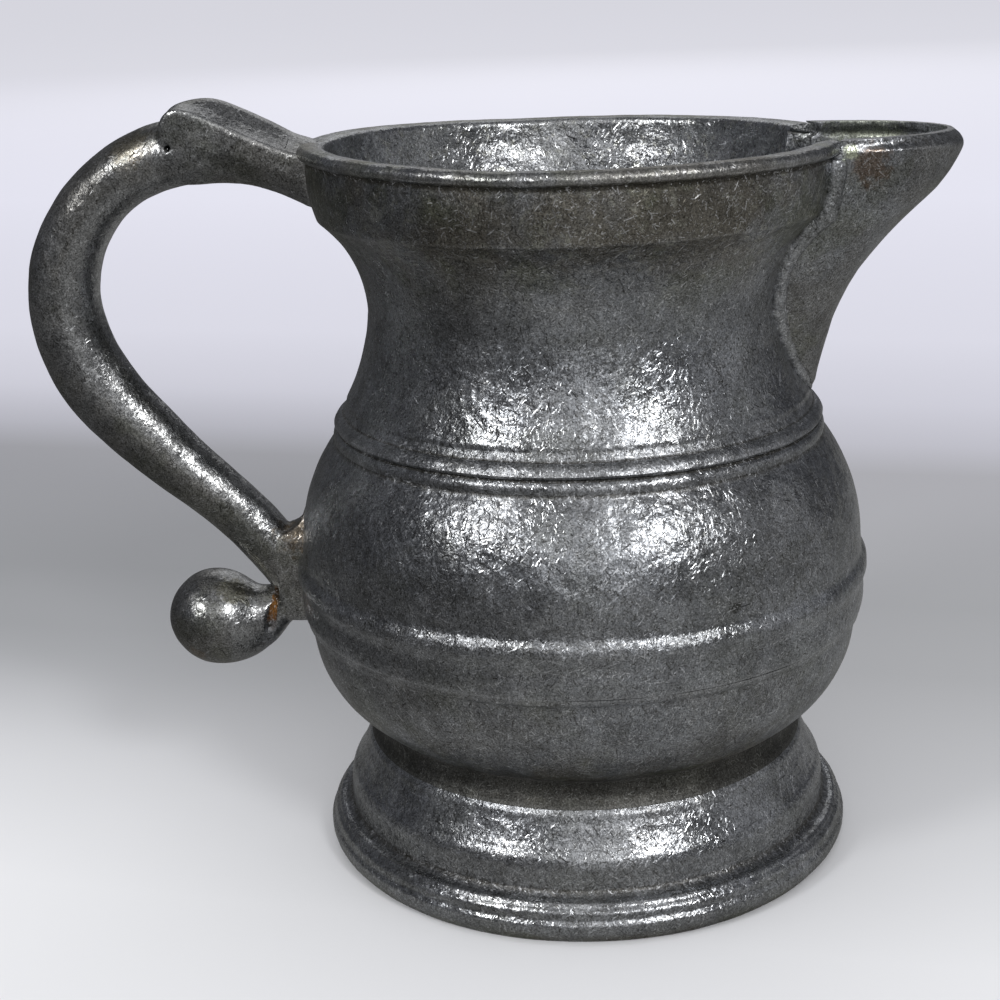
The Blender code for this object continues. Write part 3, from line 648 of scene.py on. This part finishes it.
def partedHandle(casting):
    top = block("topCutter", *partings["thumb"])
    thumbRest = combined(copied(casting, "thumbRest"), top, "INTERSECT", keep=True)
    below = combined(block("footCutter", *partings["below"]), block("padCutter", *partings["pad"]), "UNION")
    lower = combined(copied(casting, "lowerBracket"), below, "INTERSECT", keep=True)
    arm = combined(combined(casting, top, "DIFFERENCE"), below, "DIFFERENCE")
    arm.name = "handleArm"
    thumbSolder = partedAt(copied(thumbRest, "thumbSolder"), "lip", True)
    partedAt(thumbRest, "lip", False)
    pocket = partedAt(block("ballCutter", *partings["ball"]), "pocket", False)
    ball = combined(copied(lower, "ballEnd"), pocket, "INTERSECT", keep=True)
    combined(lower, pocket, "DIFFERENCE")
    ballSolder = partedAt(copied(ball, "ballSolder"), "neck", True)
    partedAt(ball, "neck", False)
    bracketSolder = partedAt(copied(lower, "bracketSolder"), "belly", True)
    partedAt(lower, "belly", False)
    return arm, thumbRest, thumbSolder, lower, bracketSolder, ball, ballSolder


def nodeMaker(tree):  # short ways to add nodes to a tree
    def make(kind, inputs=None, **settings):
        node = tree.nodes.new(kind)
        for setting, value in settings.items():
            setattr(node, setting, value)
        for socket, value in (inputs or {}).items():
            if isinstance(value, bpy.types.NodeSocket):
                tree.links.new(value, node.inputs[socket])
            else:
                node.inputs[socket].default_value = value
        return node

    def calc(operation, *values):
        return make("ShaderNodeMath", dict(enumerate(values)), operation=operation).outputs[0]

    def vec(operation, *values, **named):
        node = make("ShaderNodeVectorMath", dict(enumerate(values)), operation=operation)
        for socket, value in named.items():
            node.inputs[socket].default_value = value
        return node.outputs["Value" if operation in ("DOT_PRODUCT", "LENGTH") else "Vector"]

    def ramp(value, low, high, toLow=0.0, toHigh=1.0, smooth=True):
        node = make("ShaderNodeMapRange", {"Value": value, "From Min": low, "From Max": high,
                                           "To Min": toLow, "To Max": toHigh},
                    interpolation_type="SMOOTHSTEP" if smooth else "LINEAR", clamp=True)
        return node.outputs["Result"]

    def blendColours(share, low, high, kind="MIX"):
        node = make("ShaderNodeMix", {0: share, 6: low, 7: high}, data_type="RGBA", blend_type=kind)
        return node.outputs[2]

    return make, calc, vec, ramp, blendColours


pewterLook = {
    "dark": (0.25, 0.255, 0.26, 1),
    "light": (0.455, 0.475, 0.51, 1),
    "brown": (0.19, 0.172, 0.135, 1),
    "green": (0.19, 0.20, 0.145, 1),
    "soot": (0.06, 0.055, 0.045, 1),
    "fleckAndPaintedSheen": (0.80, 0.81, 0.83, 1),
    "scale": (0.46, 0.46, 0.40, 1),  # pale flecks on the old brown
    "roughness": 0.27,
    "facets": 1.0,  # how far the short strokes tilt the surface
    "flecks": 0.55,  # how pale the palest of them are
    "grain": 1.0,
    "dimples": 1.0,
    "inside": 0.0,  # how much painted reflection lightens the metal where it faces the axis
    "patina": 0.35,
    "rust": 0.0,  # how thickly the brown lies over the whole of the patina's levels
    "proud": 0.22,  # how worn the standing edges are
    "stainsAndPaintedLight": [],  # place, reach, colour and strength
    "scuffed": [],  # levels between which the surface is rougher
    "patinaAbove": (300, 400),  # levels between which patina sets in upwards
    "patinaBelow": (-300, -400),  # and downwards
}

# breadth in millimetres of each pattern in the metal
patternSize = {"fine": 0.2, "grit": 0.32, "pits": 0.36, "coarse": 0.75, "edge": 1.1, "warp": 1.3,
               "scaly": 1.5, "dimples": 2.4, "blotches": 4.5, "clouds": 6, "greens": 9, "broad": 17}

# breadth of a stroke's cell, its length and half width, how many cells have one, its tilt and its place
strokeLayers = [(0.3, 0.4, 0.06, 1.0, 0.22, 3.1), (0.45, 0.62, 0.07, 1.0, 0.26, 17.9),
                (0.8, 1.05, 0.085, 1.0, 0.32, 41.3), (1.4, 1.7, 0.1, 0.7, 0.34, 77.7)]


def pewter(name, **changes):
    look = {**pewterLook, **changes}
    material = bpy.data.materials.new(name)
    material.use_nodes = True
    tree = material.node_tree
    tree.nodes.clear()
    make, calc, vec, ramp, blendColours = nodeMaker(tree)
    place = make("ShaderNodeTexCoord").outputs["Object"]
    normal = make("ShaderNodeNewGeometry").outputs["Normal"]
    hollow = make("ShaderNodeAttribute", attribute_name="hollow").outputs["Fac"]
    inMillimetres = vec("SCALE", place, Scale=1000)
    axes = make("ShaderNodeSeparateXYZ", {"Vector": inMillimetres})
    level = axes.outputs["Z"]

    def noise(pattern, detail, roughness, shift, output="Fac"):
        moved = vec("ADD", inMillimetres, (shift, shift * 0.7, -shift))
        scale = 1 / patternSize[pattern]
        return make("ShaderNodeTexNoise", {"Vector": moved, "Scale": scale, "Detail": detail,
                                           "Roughness": roughness}).outputs[output]

    def part(colour, channel):
        return make("ShaderNodeSeparateColor", {"Color": colour}).outputs[channel]

    def weighed(a, shareA, b, shareB):
        return calc("ADD", calc("MULTIPLY", a, shareA), calc("MULTIPLY", b, shareB))

    def overlaid(under, share, strength, tint):
        return blendColours(calc("MULTIPLY", share, strength), under, tint)

    def centred(colour, strength):
        return vec("SCALE", vec("SUBTRACT", colour, (0.5, 0.5, 0.5)), Scale=strength)

    def scaledBy(vector, amount):
        return make("ShaderNodeVectorMath", {0: vector, "Scale": amount}, operation="SCALE").outputs["Vector"]

    warped = vec("ADD", inMillimetres, centred(noise("warp", 1, 0.5, 7, "Color"), 0.5))

    def strokes(size, length, width, share, tilt, shift):  # one short stroke to a cell, each its own way
        moved = vec("SCALE", vec("ADD", warped, (shift, -shift, shift * 1.3)), Scale=1 / size)
        cell = make("ShaderNodeTexVoronoi", {"Vector": moved, "Scale": 1, "Randomness": 1}, feature="F1")
        away = vec("SUBTRACT", moved, cell.outputs["Position"])
        heading = vec("NORMALIZE", vec("CROSS_PRODUCT", normal, centred(cell.outputs["Color"], 1)))
        side = vec("CROSS_PRODUCT", normal, heading)
        along = calc("ABSOLUTE", vec("DOT_PRODUCT", away, heading))
        across = calc("ABSOLUTE", vec("DOT_PRODUCT", away, side))
        shape = calc("MULTIPLY", ramp(across, width * 0.5 / size, width / size, 1, 0),
                     ramp(along, length * 0.3 / size, length * 0.5 / size, 1, 0))
        draw = make("ShaderNodeSeparateColor", {"Color": cell.outputs["Color"]})
        shape = calc("MULTIPLY", shape, calc("LESS_THAN", draw.outputs[2], share))
        tilt *= look["facets"]
        lean = calc("MULTIPLY_ADD", draw.outputs[0], 2 * tilt, -tilt)
        return shape, scaledBy(side, lean), draw.outputs[1]

    fine = noise("fine", 2, 0.6, 5, "Color")
    coarse = noise("coarse", 3, 0.6, 9, "Color")
    leaning = vec("ADD", centred(fine, 0.34 * look["grain"]), centred(coarse, 0.26 * look["grain"]))
    worked = ramp(calc("ABSOLUTE", calc("SUBTRACT", hollow, 0.5)), 0.03, 0.14, 0, 0.55)  # edges and grooves
    scuffs = 0.0
    for low, high in look["scuffed"]:
        scuffs = calc("ADD", scuffs, calc("MULTIPLY", ramp(level, low - 0.3, low + 0.3),
                                          ramp(level, high + 0.3, high - 0.3)))
    worked = calc("MAXIMUM", worked, calc("MULTIPLY", scuffs, 0.75))
    grit = centred(noise("grit", 2, 0.6, 77, "Color"), 1)
    leaning = vec("ADD", leaning, scaledBy(grit, worked))
    brightness = 0.5
    for layer in strokeLayers:
        shape, lean, draw = strokes(*layer)
        leaning = make("ShaderNodeMix", {0: shape, 4: leaning, 5: lean}, data_type="VECTOR").outputs[1]
        brightness = make("ShaderNodeMix", {0: shape, 2: brightness, 3: draw}).outputs[0]
    leant = vec("NORMALIZE", vec("ADD", normal, leaning))
    bump = make("ShaderNodeBump", {"Strength": 1.0, "Distance": 0.00022 * look["dimples"],
                                   "Height": noise("dimples", 3, 0.5, 19), "Normal": leant})

    coarseFac = part(coarse, 1)
    cloud = noise("clouds", 4, 0.6, 23)
    broad = noise("broad", 3, 0.5, 61)
    tone = weighed(ramp(weighed(cloud, 0.45, coarseFac, 0.55), 0.36, 0.62), 0.55, brightness, 0.45)
    colour = blendColours(tone, look["dark"], look["light"])
    zone = calc("MAXIMUM", ramp(level, *look["patinaAbove"]),
                ramp(calc("MULTIPLY", level, -1), *[-v for v in look["patinaBelow"]]))
    fromAxis = make("ShaderNodeCombineXYZ", {"X": calc("SUBTRACT", axes.outputs[0], axisX),
                                             "Y": axes.outputs[1]}).outputs[0]
    within = ramp(vec("DOT_PRODUCT", fromAxis, normal), 0, -12)  # 1 on the walls that face the axis
    # brown patina, green over it, and pale scale where it is thick
    aged = calc("MULTIPLY", calc("MULTIPLY_ADD", zone, 1 - look["patina"], look["patina"]),
                calc("MULTIPLY_ADD", within, -0.8, 1))
    brownShare = calc("MULTIPLY", ramp(weighed(broad, 0.6, cloud, 0.4), 0.40, 0.58), aged)
    brownShare = calc("MAXIMUM", brownShare, calc("MULTIPLY", zone, look["rust"]))
    colour = overlaid(colour, brownShare, 0.85, look["brown"])
    greenShare = calc("MULTIPLY", ramp(noise("greens", 4, 0.6, 131), 0.48, 0.62), aged)
    colour = overlaid(colour, greenShare, 0.7, look["green"])
    scaly = ramp(noise("scaly", 5, 0.7, 512), 0.54, 0.66)
    colour = overlaid(colour, calc("MULTIPLY", scaly, zone), 0.65, look["scale"])
    # dirt in the hollows and pits
    sunk = ramp(calc("ADD", hollow, calc("MULTIPLY", calc("SUBTRACT", coarseFac, 0.5), 0.12)), 0.44, 0.30)
    colour = overlaid(colour, sunk, 0.8, look["soot"])
    # painted reflection: the walls that face the axis are lightened towards the pale fleck colour
    colour = overlaid(colour, within, look["inside"], look["fleckAndPaintedSheen"])
    colour = overlaid(colour, ramp(noise("pits", 2, 0.6, 301), 0.62, 0.70), 0.8, look["soot"])
    edge = calc("ADD", noise("edge", 3, 0.6, 88), -0.5)  # frays the stains and the painted light patches
    # stains, with painted shade in the pit and painted highlights in the spout's notch and trough
    for spot, reach, tint, strength in look["stainsAndPaintedLight"]:
        away = vec("LENGTH", vec("SUBTRACT", inMillimetres, tuple(v / mm for v in at(*spot))))
        cover = ramp(calc("MULTIPLY_ADD", edge, reach * 1.6, away), reach, reach * 0.45, 0, strength)
        colour = blendColours(cover, colour, (*tint, 1))
    proud = calc("MULTIPLY", ramp(hollow, 0.56, 0.75), look["proud"])  # worn bright
    colour = blendColours(ramp(brightness, 0.25, 0.08, 0, 0.45), colour, look["soot"])
    shine = calc("MAXIMUM", calc("MULTIPLY", ramp(brightness, 0.7, 0.92), look["flecks"]), proud)
    colour = blendColours(shine, colour, look["fleckAndPaintedSheen"])
    speckle = ramp(part(fine, 2), 0.3, 0.7, 0.58, 1.42)
    blotch = ramp(noise("blotches", 5, 0.6, 401), 0.36, 0.62, 0.86, 1.14)
    colour = blendColours(1.0, colour, calc("MULTIPLY", speckle, blotch), "MULTIPLY")

    rough = ramp(weighed(cloud, 0.5, coarseFac, 0.5), 0.3, 0.7, look["roughness"] - 0.06,
                 look["roughness"] + 0.1, smooth=False)
    rough = calc("MULTIPLY_ADD", sunk, 0.25, calc("MULTIPLY_ADD", brownShare, 0.12, rough))
    rough = calc("MULTIPLY_ADD", scuffs, 0.06, rough)
    shader = make("ShaderNodeBsdfPrincipled", {"Base Color": colour, "Metallic": 1.0, "Roughness": rough,
                                               "Normal": bump.outputs["Normal"]})
    make("ShaderNodeOutputMaterial", {"Surface": shader.outputs["BSDF"]})
    return material


def markHollows(piece, reach=0.9):  # how hollow or proud the surface is at each vertex, 0.5 where flat
    mesh = piece.data
    count = len(mesh.vertices)
    places = np.empty(count * 3)
    normals = np.empty(count * 3)
    ends = np.empty(len(mesh.edges) * 2, dtype=np.int64)
    mesh.vertices.foreach_get("co", places)
    mesh.vertices.foreach_get("normal", normals)
    mesh.edges.foreach_get("vertices", ends)
    places, normals, ends = places.reshape(-1, 3), normals.reshape(-1, 3), ends.reshape(-1, 2)
    first, second = np.concatenate([ends[:, 0], ends[:, 1]]), np.concatenate([ends[:, 1], ends[:, 0]])
    run = places[second] - places[first]
    length = np.maximum(np.linalg.norm(run, axis=1), 0.05 * mm)
    bend = -np.einsum("ij,ij->i", run, normals[first]) / length ** 2
    number = np.maximum(np.bincount(first, minlength=count), 1)
    value = np.bincount(first, weights=bend, minlength=count) / number
    rounds = max(1, round((reach * mm / np.median(length)) ** 2))
    for _ in range(min(rounds, 12)):
        value = 0.4 * value + 0.6 * np.bincount(first, weights=value[second], minlength=count) / number
    hollow = mesh.attributes.new("hollow", "FLOAT", "POINT")
    hollow.data.foreach_set("value", np.clip(0.5 + value * mm * 0.8, 0, 1).astype(np.float32))


def sameHollows(piece, whole):  # takes over the whole casting's hollows, so that a cut edge isn't one
    marks = whole.data.attributes["hollow"].data
    tree = KDTree(len(whole.data.vertices))
    for vertex in whole.data.vertices:
        tree.insert(vertex.co, vertex.index)
    tree.balance()
    values = [marks[tree.find(vertex.co)[1]].value for vertex in piece.data.vertices]
    if "hollow" in piece.data.attributes:
        piece.data.attributes.remove(piece.data.attributes["hollow"])
    piece.data.attributes.new("hollow", "FLOAT", "POINT").data.foreach_set("value", values)


def dressed(piece, material, slotName, *nodes):
    piece.data.materials.clear()
    piece.data.materials.append(material)
    if "hollow" not in piece.data.attributes:
        markHollows(piece)
    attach(piece, "root")
    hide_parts(*nodes)


upper = upperBody()
grown(upper, castingLook["waves"], castingLook["height"])
grown(upper, castingLook["fineWaves"], castingLook["fineHeight"])
for path, reach, depth in bodyLook["knocks"]:
    stroke(upper, path, reach, depth)
bowl = lowerBowl()
grown(bowl, castingLook["waves"], castingLook["height"])
foot = turnedFoot()
grown(foot, castingLook["waves"], castingLook["height"] * footLook["evenness"])
ring = footSolder()
print("turned body, bowl and foot")

spout = pouringSpout()
combined(upper, troughCutter(1.04), "DIFFERENCE")
seam = spoutSeam()
for size, strength in seamLook["lumps"]:
    grown(seam, size, strength, 1)
print("spout and its seam")

casting = handleCasting()
grown(casting, *armLook["waves"])
stroke(casting, armLook["crevice"], 0.9, 0.5)
stroke(casting, armLook["pit"], 0.6, 0.5)
markHollows(casting)
whole = copied(casting, "wholeCasting")
handlePieces = partedHandle(casting)
for piece in handlePieces:
    sameHollows(piece, whole)
removed(whole)
arm, thumbRest, thumbSolder, bracket, bracketSolder, ball, ballSolder = handlePieces
print("handle, bracket and ball")

for piece in (upper, bowl, foot, ring, spout, seam, arm, thumbRest, thumbSolder, bracket, bracketSolder,
              ball, ballSolder):
    focus(piece)
    bpy.ops.object.shade_smooth_by_angle(angle=math.radians(40))

dressed(upper, pewter("bodyPewter", **bodyLook["finish"]), "body", "upper_body")
dressed(bowl, pewter("bowlPewter", **bowlLook["finish"]), "lower_body", "bowl")
dressed(foot, pewter("footPewter", **footLook["finish"]), "foot", "foot")
dressed(ring, pewter("footSolderPewter", **footSolderLook["finish"]), "solder", "foot_solder")
dressed(spout, pewter("spoutPewter", **spoutLook["finish"]), "spout", "spout")
dressed(seam, pewter("seamPewter", **seamLook["finish"]), "solder", "spout_solder")
handlePewter = pewter("handlePewter", **armLook["finish"])
dressed(arm, handlePewter, "handle", "handle_grip")
dressed(thumbRest, handlePewter, "handle", "thumb_rest")
dressed(thumbSolder, handlePewter, "solder", "thumb_rest_solder")
dressed(bracket, handlePewter, "bracket", "lower_bracket")
dressed(bracketSolder, handlePewter, "solder", "lower_bracket_solder")
dressed(ball, handlePewter, "handle", "ball_terminal")
dressed(ballSolder, pewter("rustyPewter", **ballLook["rustyFinish"]), "solder", "terminal_solder")
print("materials")

floorLook = {
    # how pale it is by its distance behind the jug in millimetres; the darker tones from just behind the jug
    # to about 200 mm are painted shade at the back of the shelf, and the bluish far tones are the wall's own
    # colour
    "tones": [(-30, (0.78, 0.785, 0.805, 1)), (12, (0.62, 0.625, 0.645, 1)), (58, (0.44, 0.445, 0.46, 1)),
              (90, (0.39, 0.395, 0.41, 1)), (175, (0.39, 0.39, 0.415, 1)), (200, (0.49, 0.49, 0.54, 1)),
              (240, (0.585, 0.585, 0.65, 1)), (320, (0.68, 0.68, 0.755, 1)), (640, (0.79, 0.79, 0.88, 1)),
              (1900, (0.93, 0.93, 1.0, 1))],
    "paintedShadow": (0.78, 0.785, 0.79, 1),  # painted shadow: a little darker behind the jug on the left
    "mirrored": (0.27, 0.27, 0.265, 1),  # as the metal sees it
    "mirroredDark": (0.07, 0.07, 0.07, 1),
    "size": 60,  # in metres
}


def palePlain(name):
    material = bpy.data.materials.new(name)
    material.use_nodes = True
    tree = material.node_tree
    tree.nodes.clear()
    make, calc, _, ramp, blendColours = nodeMaker(tree)
    axes = make("ShaderNodeSeparateXYZ", {"Vector": make("ShaderNodeTexCoord").outputs["Object"]})
    depth = calc("MULTIPLY_ADD", axes.outputs["X"], 0.2, axes.outputs["Y"])
    tones = floorLook["tones"]
    shade = tones[0][1]
    # painted shade: the tones darken from just behind the jug to about 200 mm
    for (near, _), (far, colour) in zip(tones, tones[1:]):
        shade = blendColours(ramp(depth, near * mm, far * mm, smooth=False), shade, colour)
    # painted shadow of the jug, darker behind it on the left
    paintedShadow = calc("MULTIPLY", calc("MULTIPLY", ramp(depth, 0, 50 * mm), ramp(depth, 260 * mm, 140 * mm)),
                  ramp(axes.outputs["X"], 50 * mm, -50 * mm))
    shade = blendColours(paintedShadow, shade, floorLook["paintedShadow"], "MULTIPLY")
    beside = calc("MULTIPLY", ramp(axes.outputs["X"], -110 * mm, 0),
                  ramp(axes.outputs["X"], 220 * mm, 60 * mm, 0.6, 1))
    beside = calc("MAXIMUM", beside, ramp(axes.outputs["Y"], -350 * mm, -700 * mm))
    seen = make("ShaderNodeLightPath").outputs["Is Glossy Ray"]
    mirrored = blendColours(beside, floorLook["mirroredDark"], floorLook["mirrored"])
    shown = blendColours(seen, shade, mirrored)
    shader = make("ShaderNodeBsdfDiffuse", {"Color": shown})
    make("ShaderNodeOutputMaterial", {"Surface": shader.outputs["BSDF"]})
    return material


deselectAll()
bpy.ops.mesh.primitive_plane_add(size=floorLook["size"], location=(0, 0, 0))
floor = bpy.context.object
floor.name = "floor"
floor.data.materials.append(palePlain("paleFloor"))

roomLook = {
    "light": (0.72, 0.72, 0.73, 1),
    "mirrored": (0.085, 0.087, 0.095, 1),
    "seen": (0.68, 0.68, 0.776, 1),
}
world = bpy.context.scene.world or bpy.data.worlds.new("room")
bpy.context.scene.world = world
world.use_nodes = True
world.node_tree.nodes.clear()
make, _, _, _, blendColours = nodeMaker(world.node_tree)
rays = make("ShaderNodeLightPath").outputs
air = blendColours(rays["Is Glossy Ray"], roomLook["light"], roomLook["mirrored"])
air = blendColours(rays["Is Camera Ray"], air, roomLook["seen"])
room = make("ShaderNodeBackground", {"Color": air, "Strength": 1.0})
make("ShaderNodeOutputWorld", {"Surface": room.outputs[0]})


def lamp(name, side, height, distance, size, power):  # an area lamp turned to face the jug
    turn, rise = math.radians(side), math.radians(height)
    target = at(0, 0, 50)
    aim = Vector((math.sin(turn) * math.cos(rise), -math.cos(turn) * math.cos(rise), math.sin(rise)))
    deselectAll()
    bpy.ops.object.light_add(type="AREA", location=target + aim * distance,
                             rotation=aim.to_track_quat("Z", "Y").to_euler())
    light = bpy.context.object
    light.name = name
    light.data.shape = "DISK"
    light.data.size = size
    light.data.energy = power


# degrees from the front and above the table, distance, breadth and power
lampLook = {
    "lampLeft": (-48, 34, 1.4, 0.28, 4.2),
    "lampRight": (31, 34, 1.4, 0.28, 4.8),
    "lampFront": (2, 27, 1.5, 1.2, 2.25),
    "lampSide": (85, 15, 1.5, 1.1, 0.7),
    "lampAbove": (0, 74, 1.5, 1.6, 1.8),
    "lampBehind": (180, 35, 1.6, 1.4, 2.6),
}
for name, values in lampLook.items():
    lamp(name, *values)

cameraLook = {"yaw": -2.727, "pitch": 17.328, "roll": -2.151, "place": (0, -218.77, 113.98), "lens": 62.59}
yaw, pitch, roll = (math.radians(cameraLook[turn]) for turn in ("yaw", "pitch", "roll"))
forward = Vector((math.sin(yaw) * math.cos(pitch), math.cos(yaw) * math.cos(pitch), -math.sin(pitch)))
right = Vector((math.cos(yaw), -math.sin(yaw), 0))
up = right.cross(forward)
rolledRight = math.cos(roll) * right + math.sin(roll) * up
rolledUp = -math.sin(roll) * right + math.cos(roll) * up
facing = Matrix((rolledRight, rolledUp, -forward)).transposed()
deselectAll()
bpy.ops.object.camera_add(location=at(*cameraLook["place"]), rotation=facing.to_euler())
camera = bpy.context.object
camera.data.sensor_width = 36
camera.data.lens = cameraLook["lens"]
camera.data.clip_start = 0.01
camera.data.dof.use_dof = False
bpy.context.scene.camera = camera
bpy.context.scene.view_settings.view_transform = "Standard"
print("floor, light and camera")
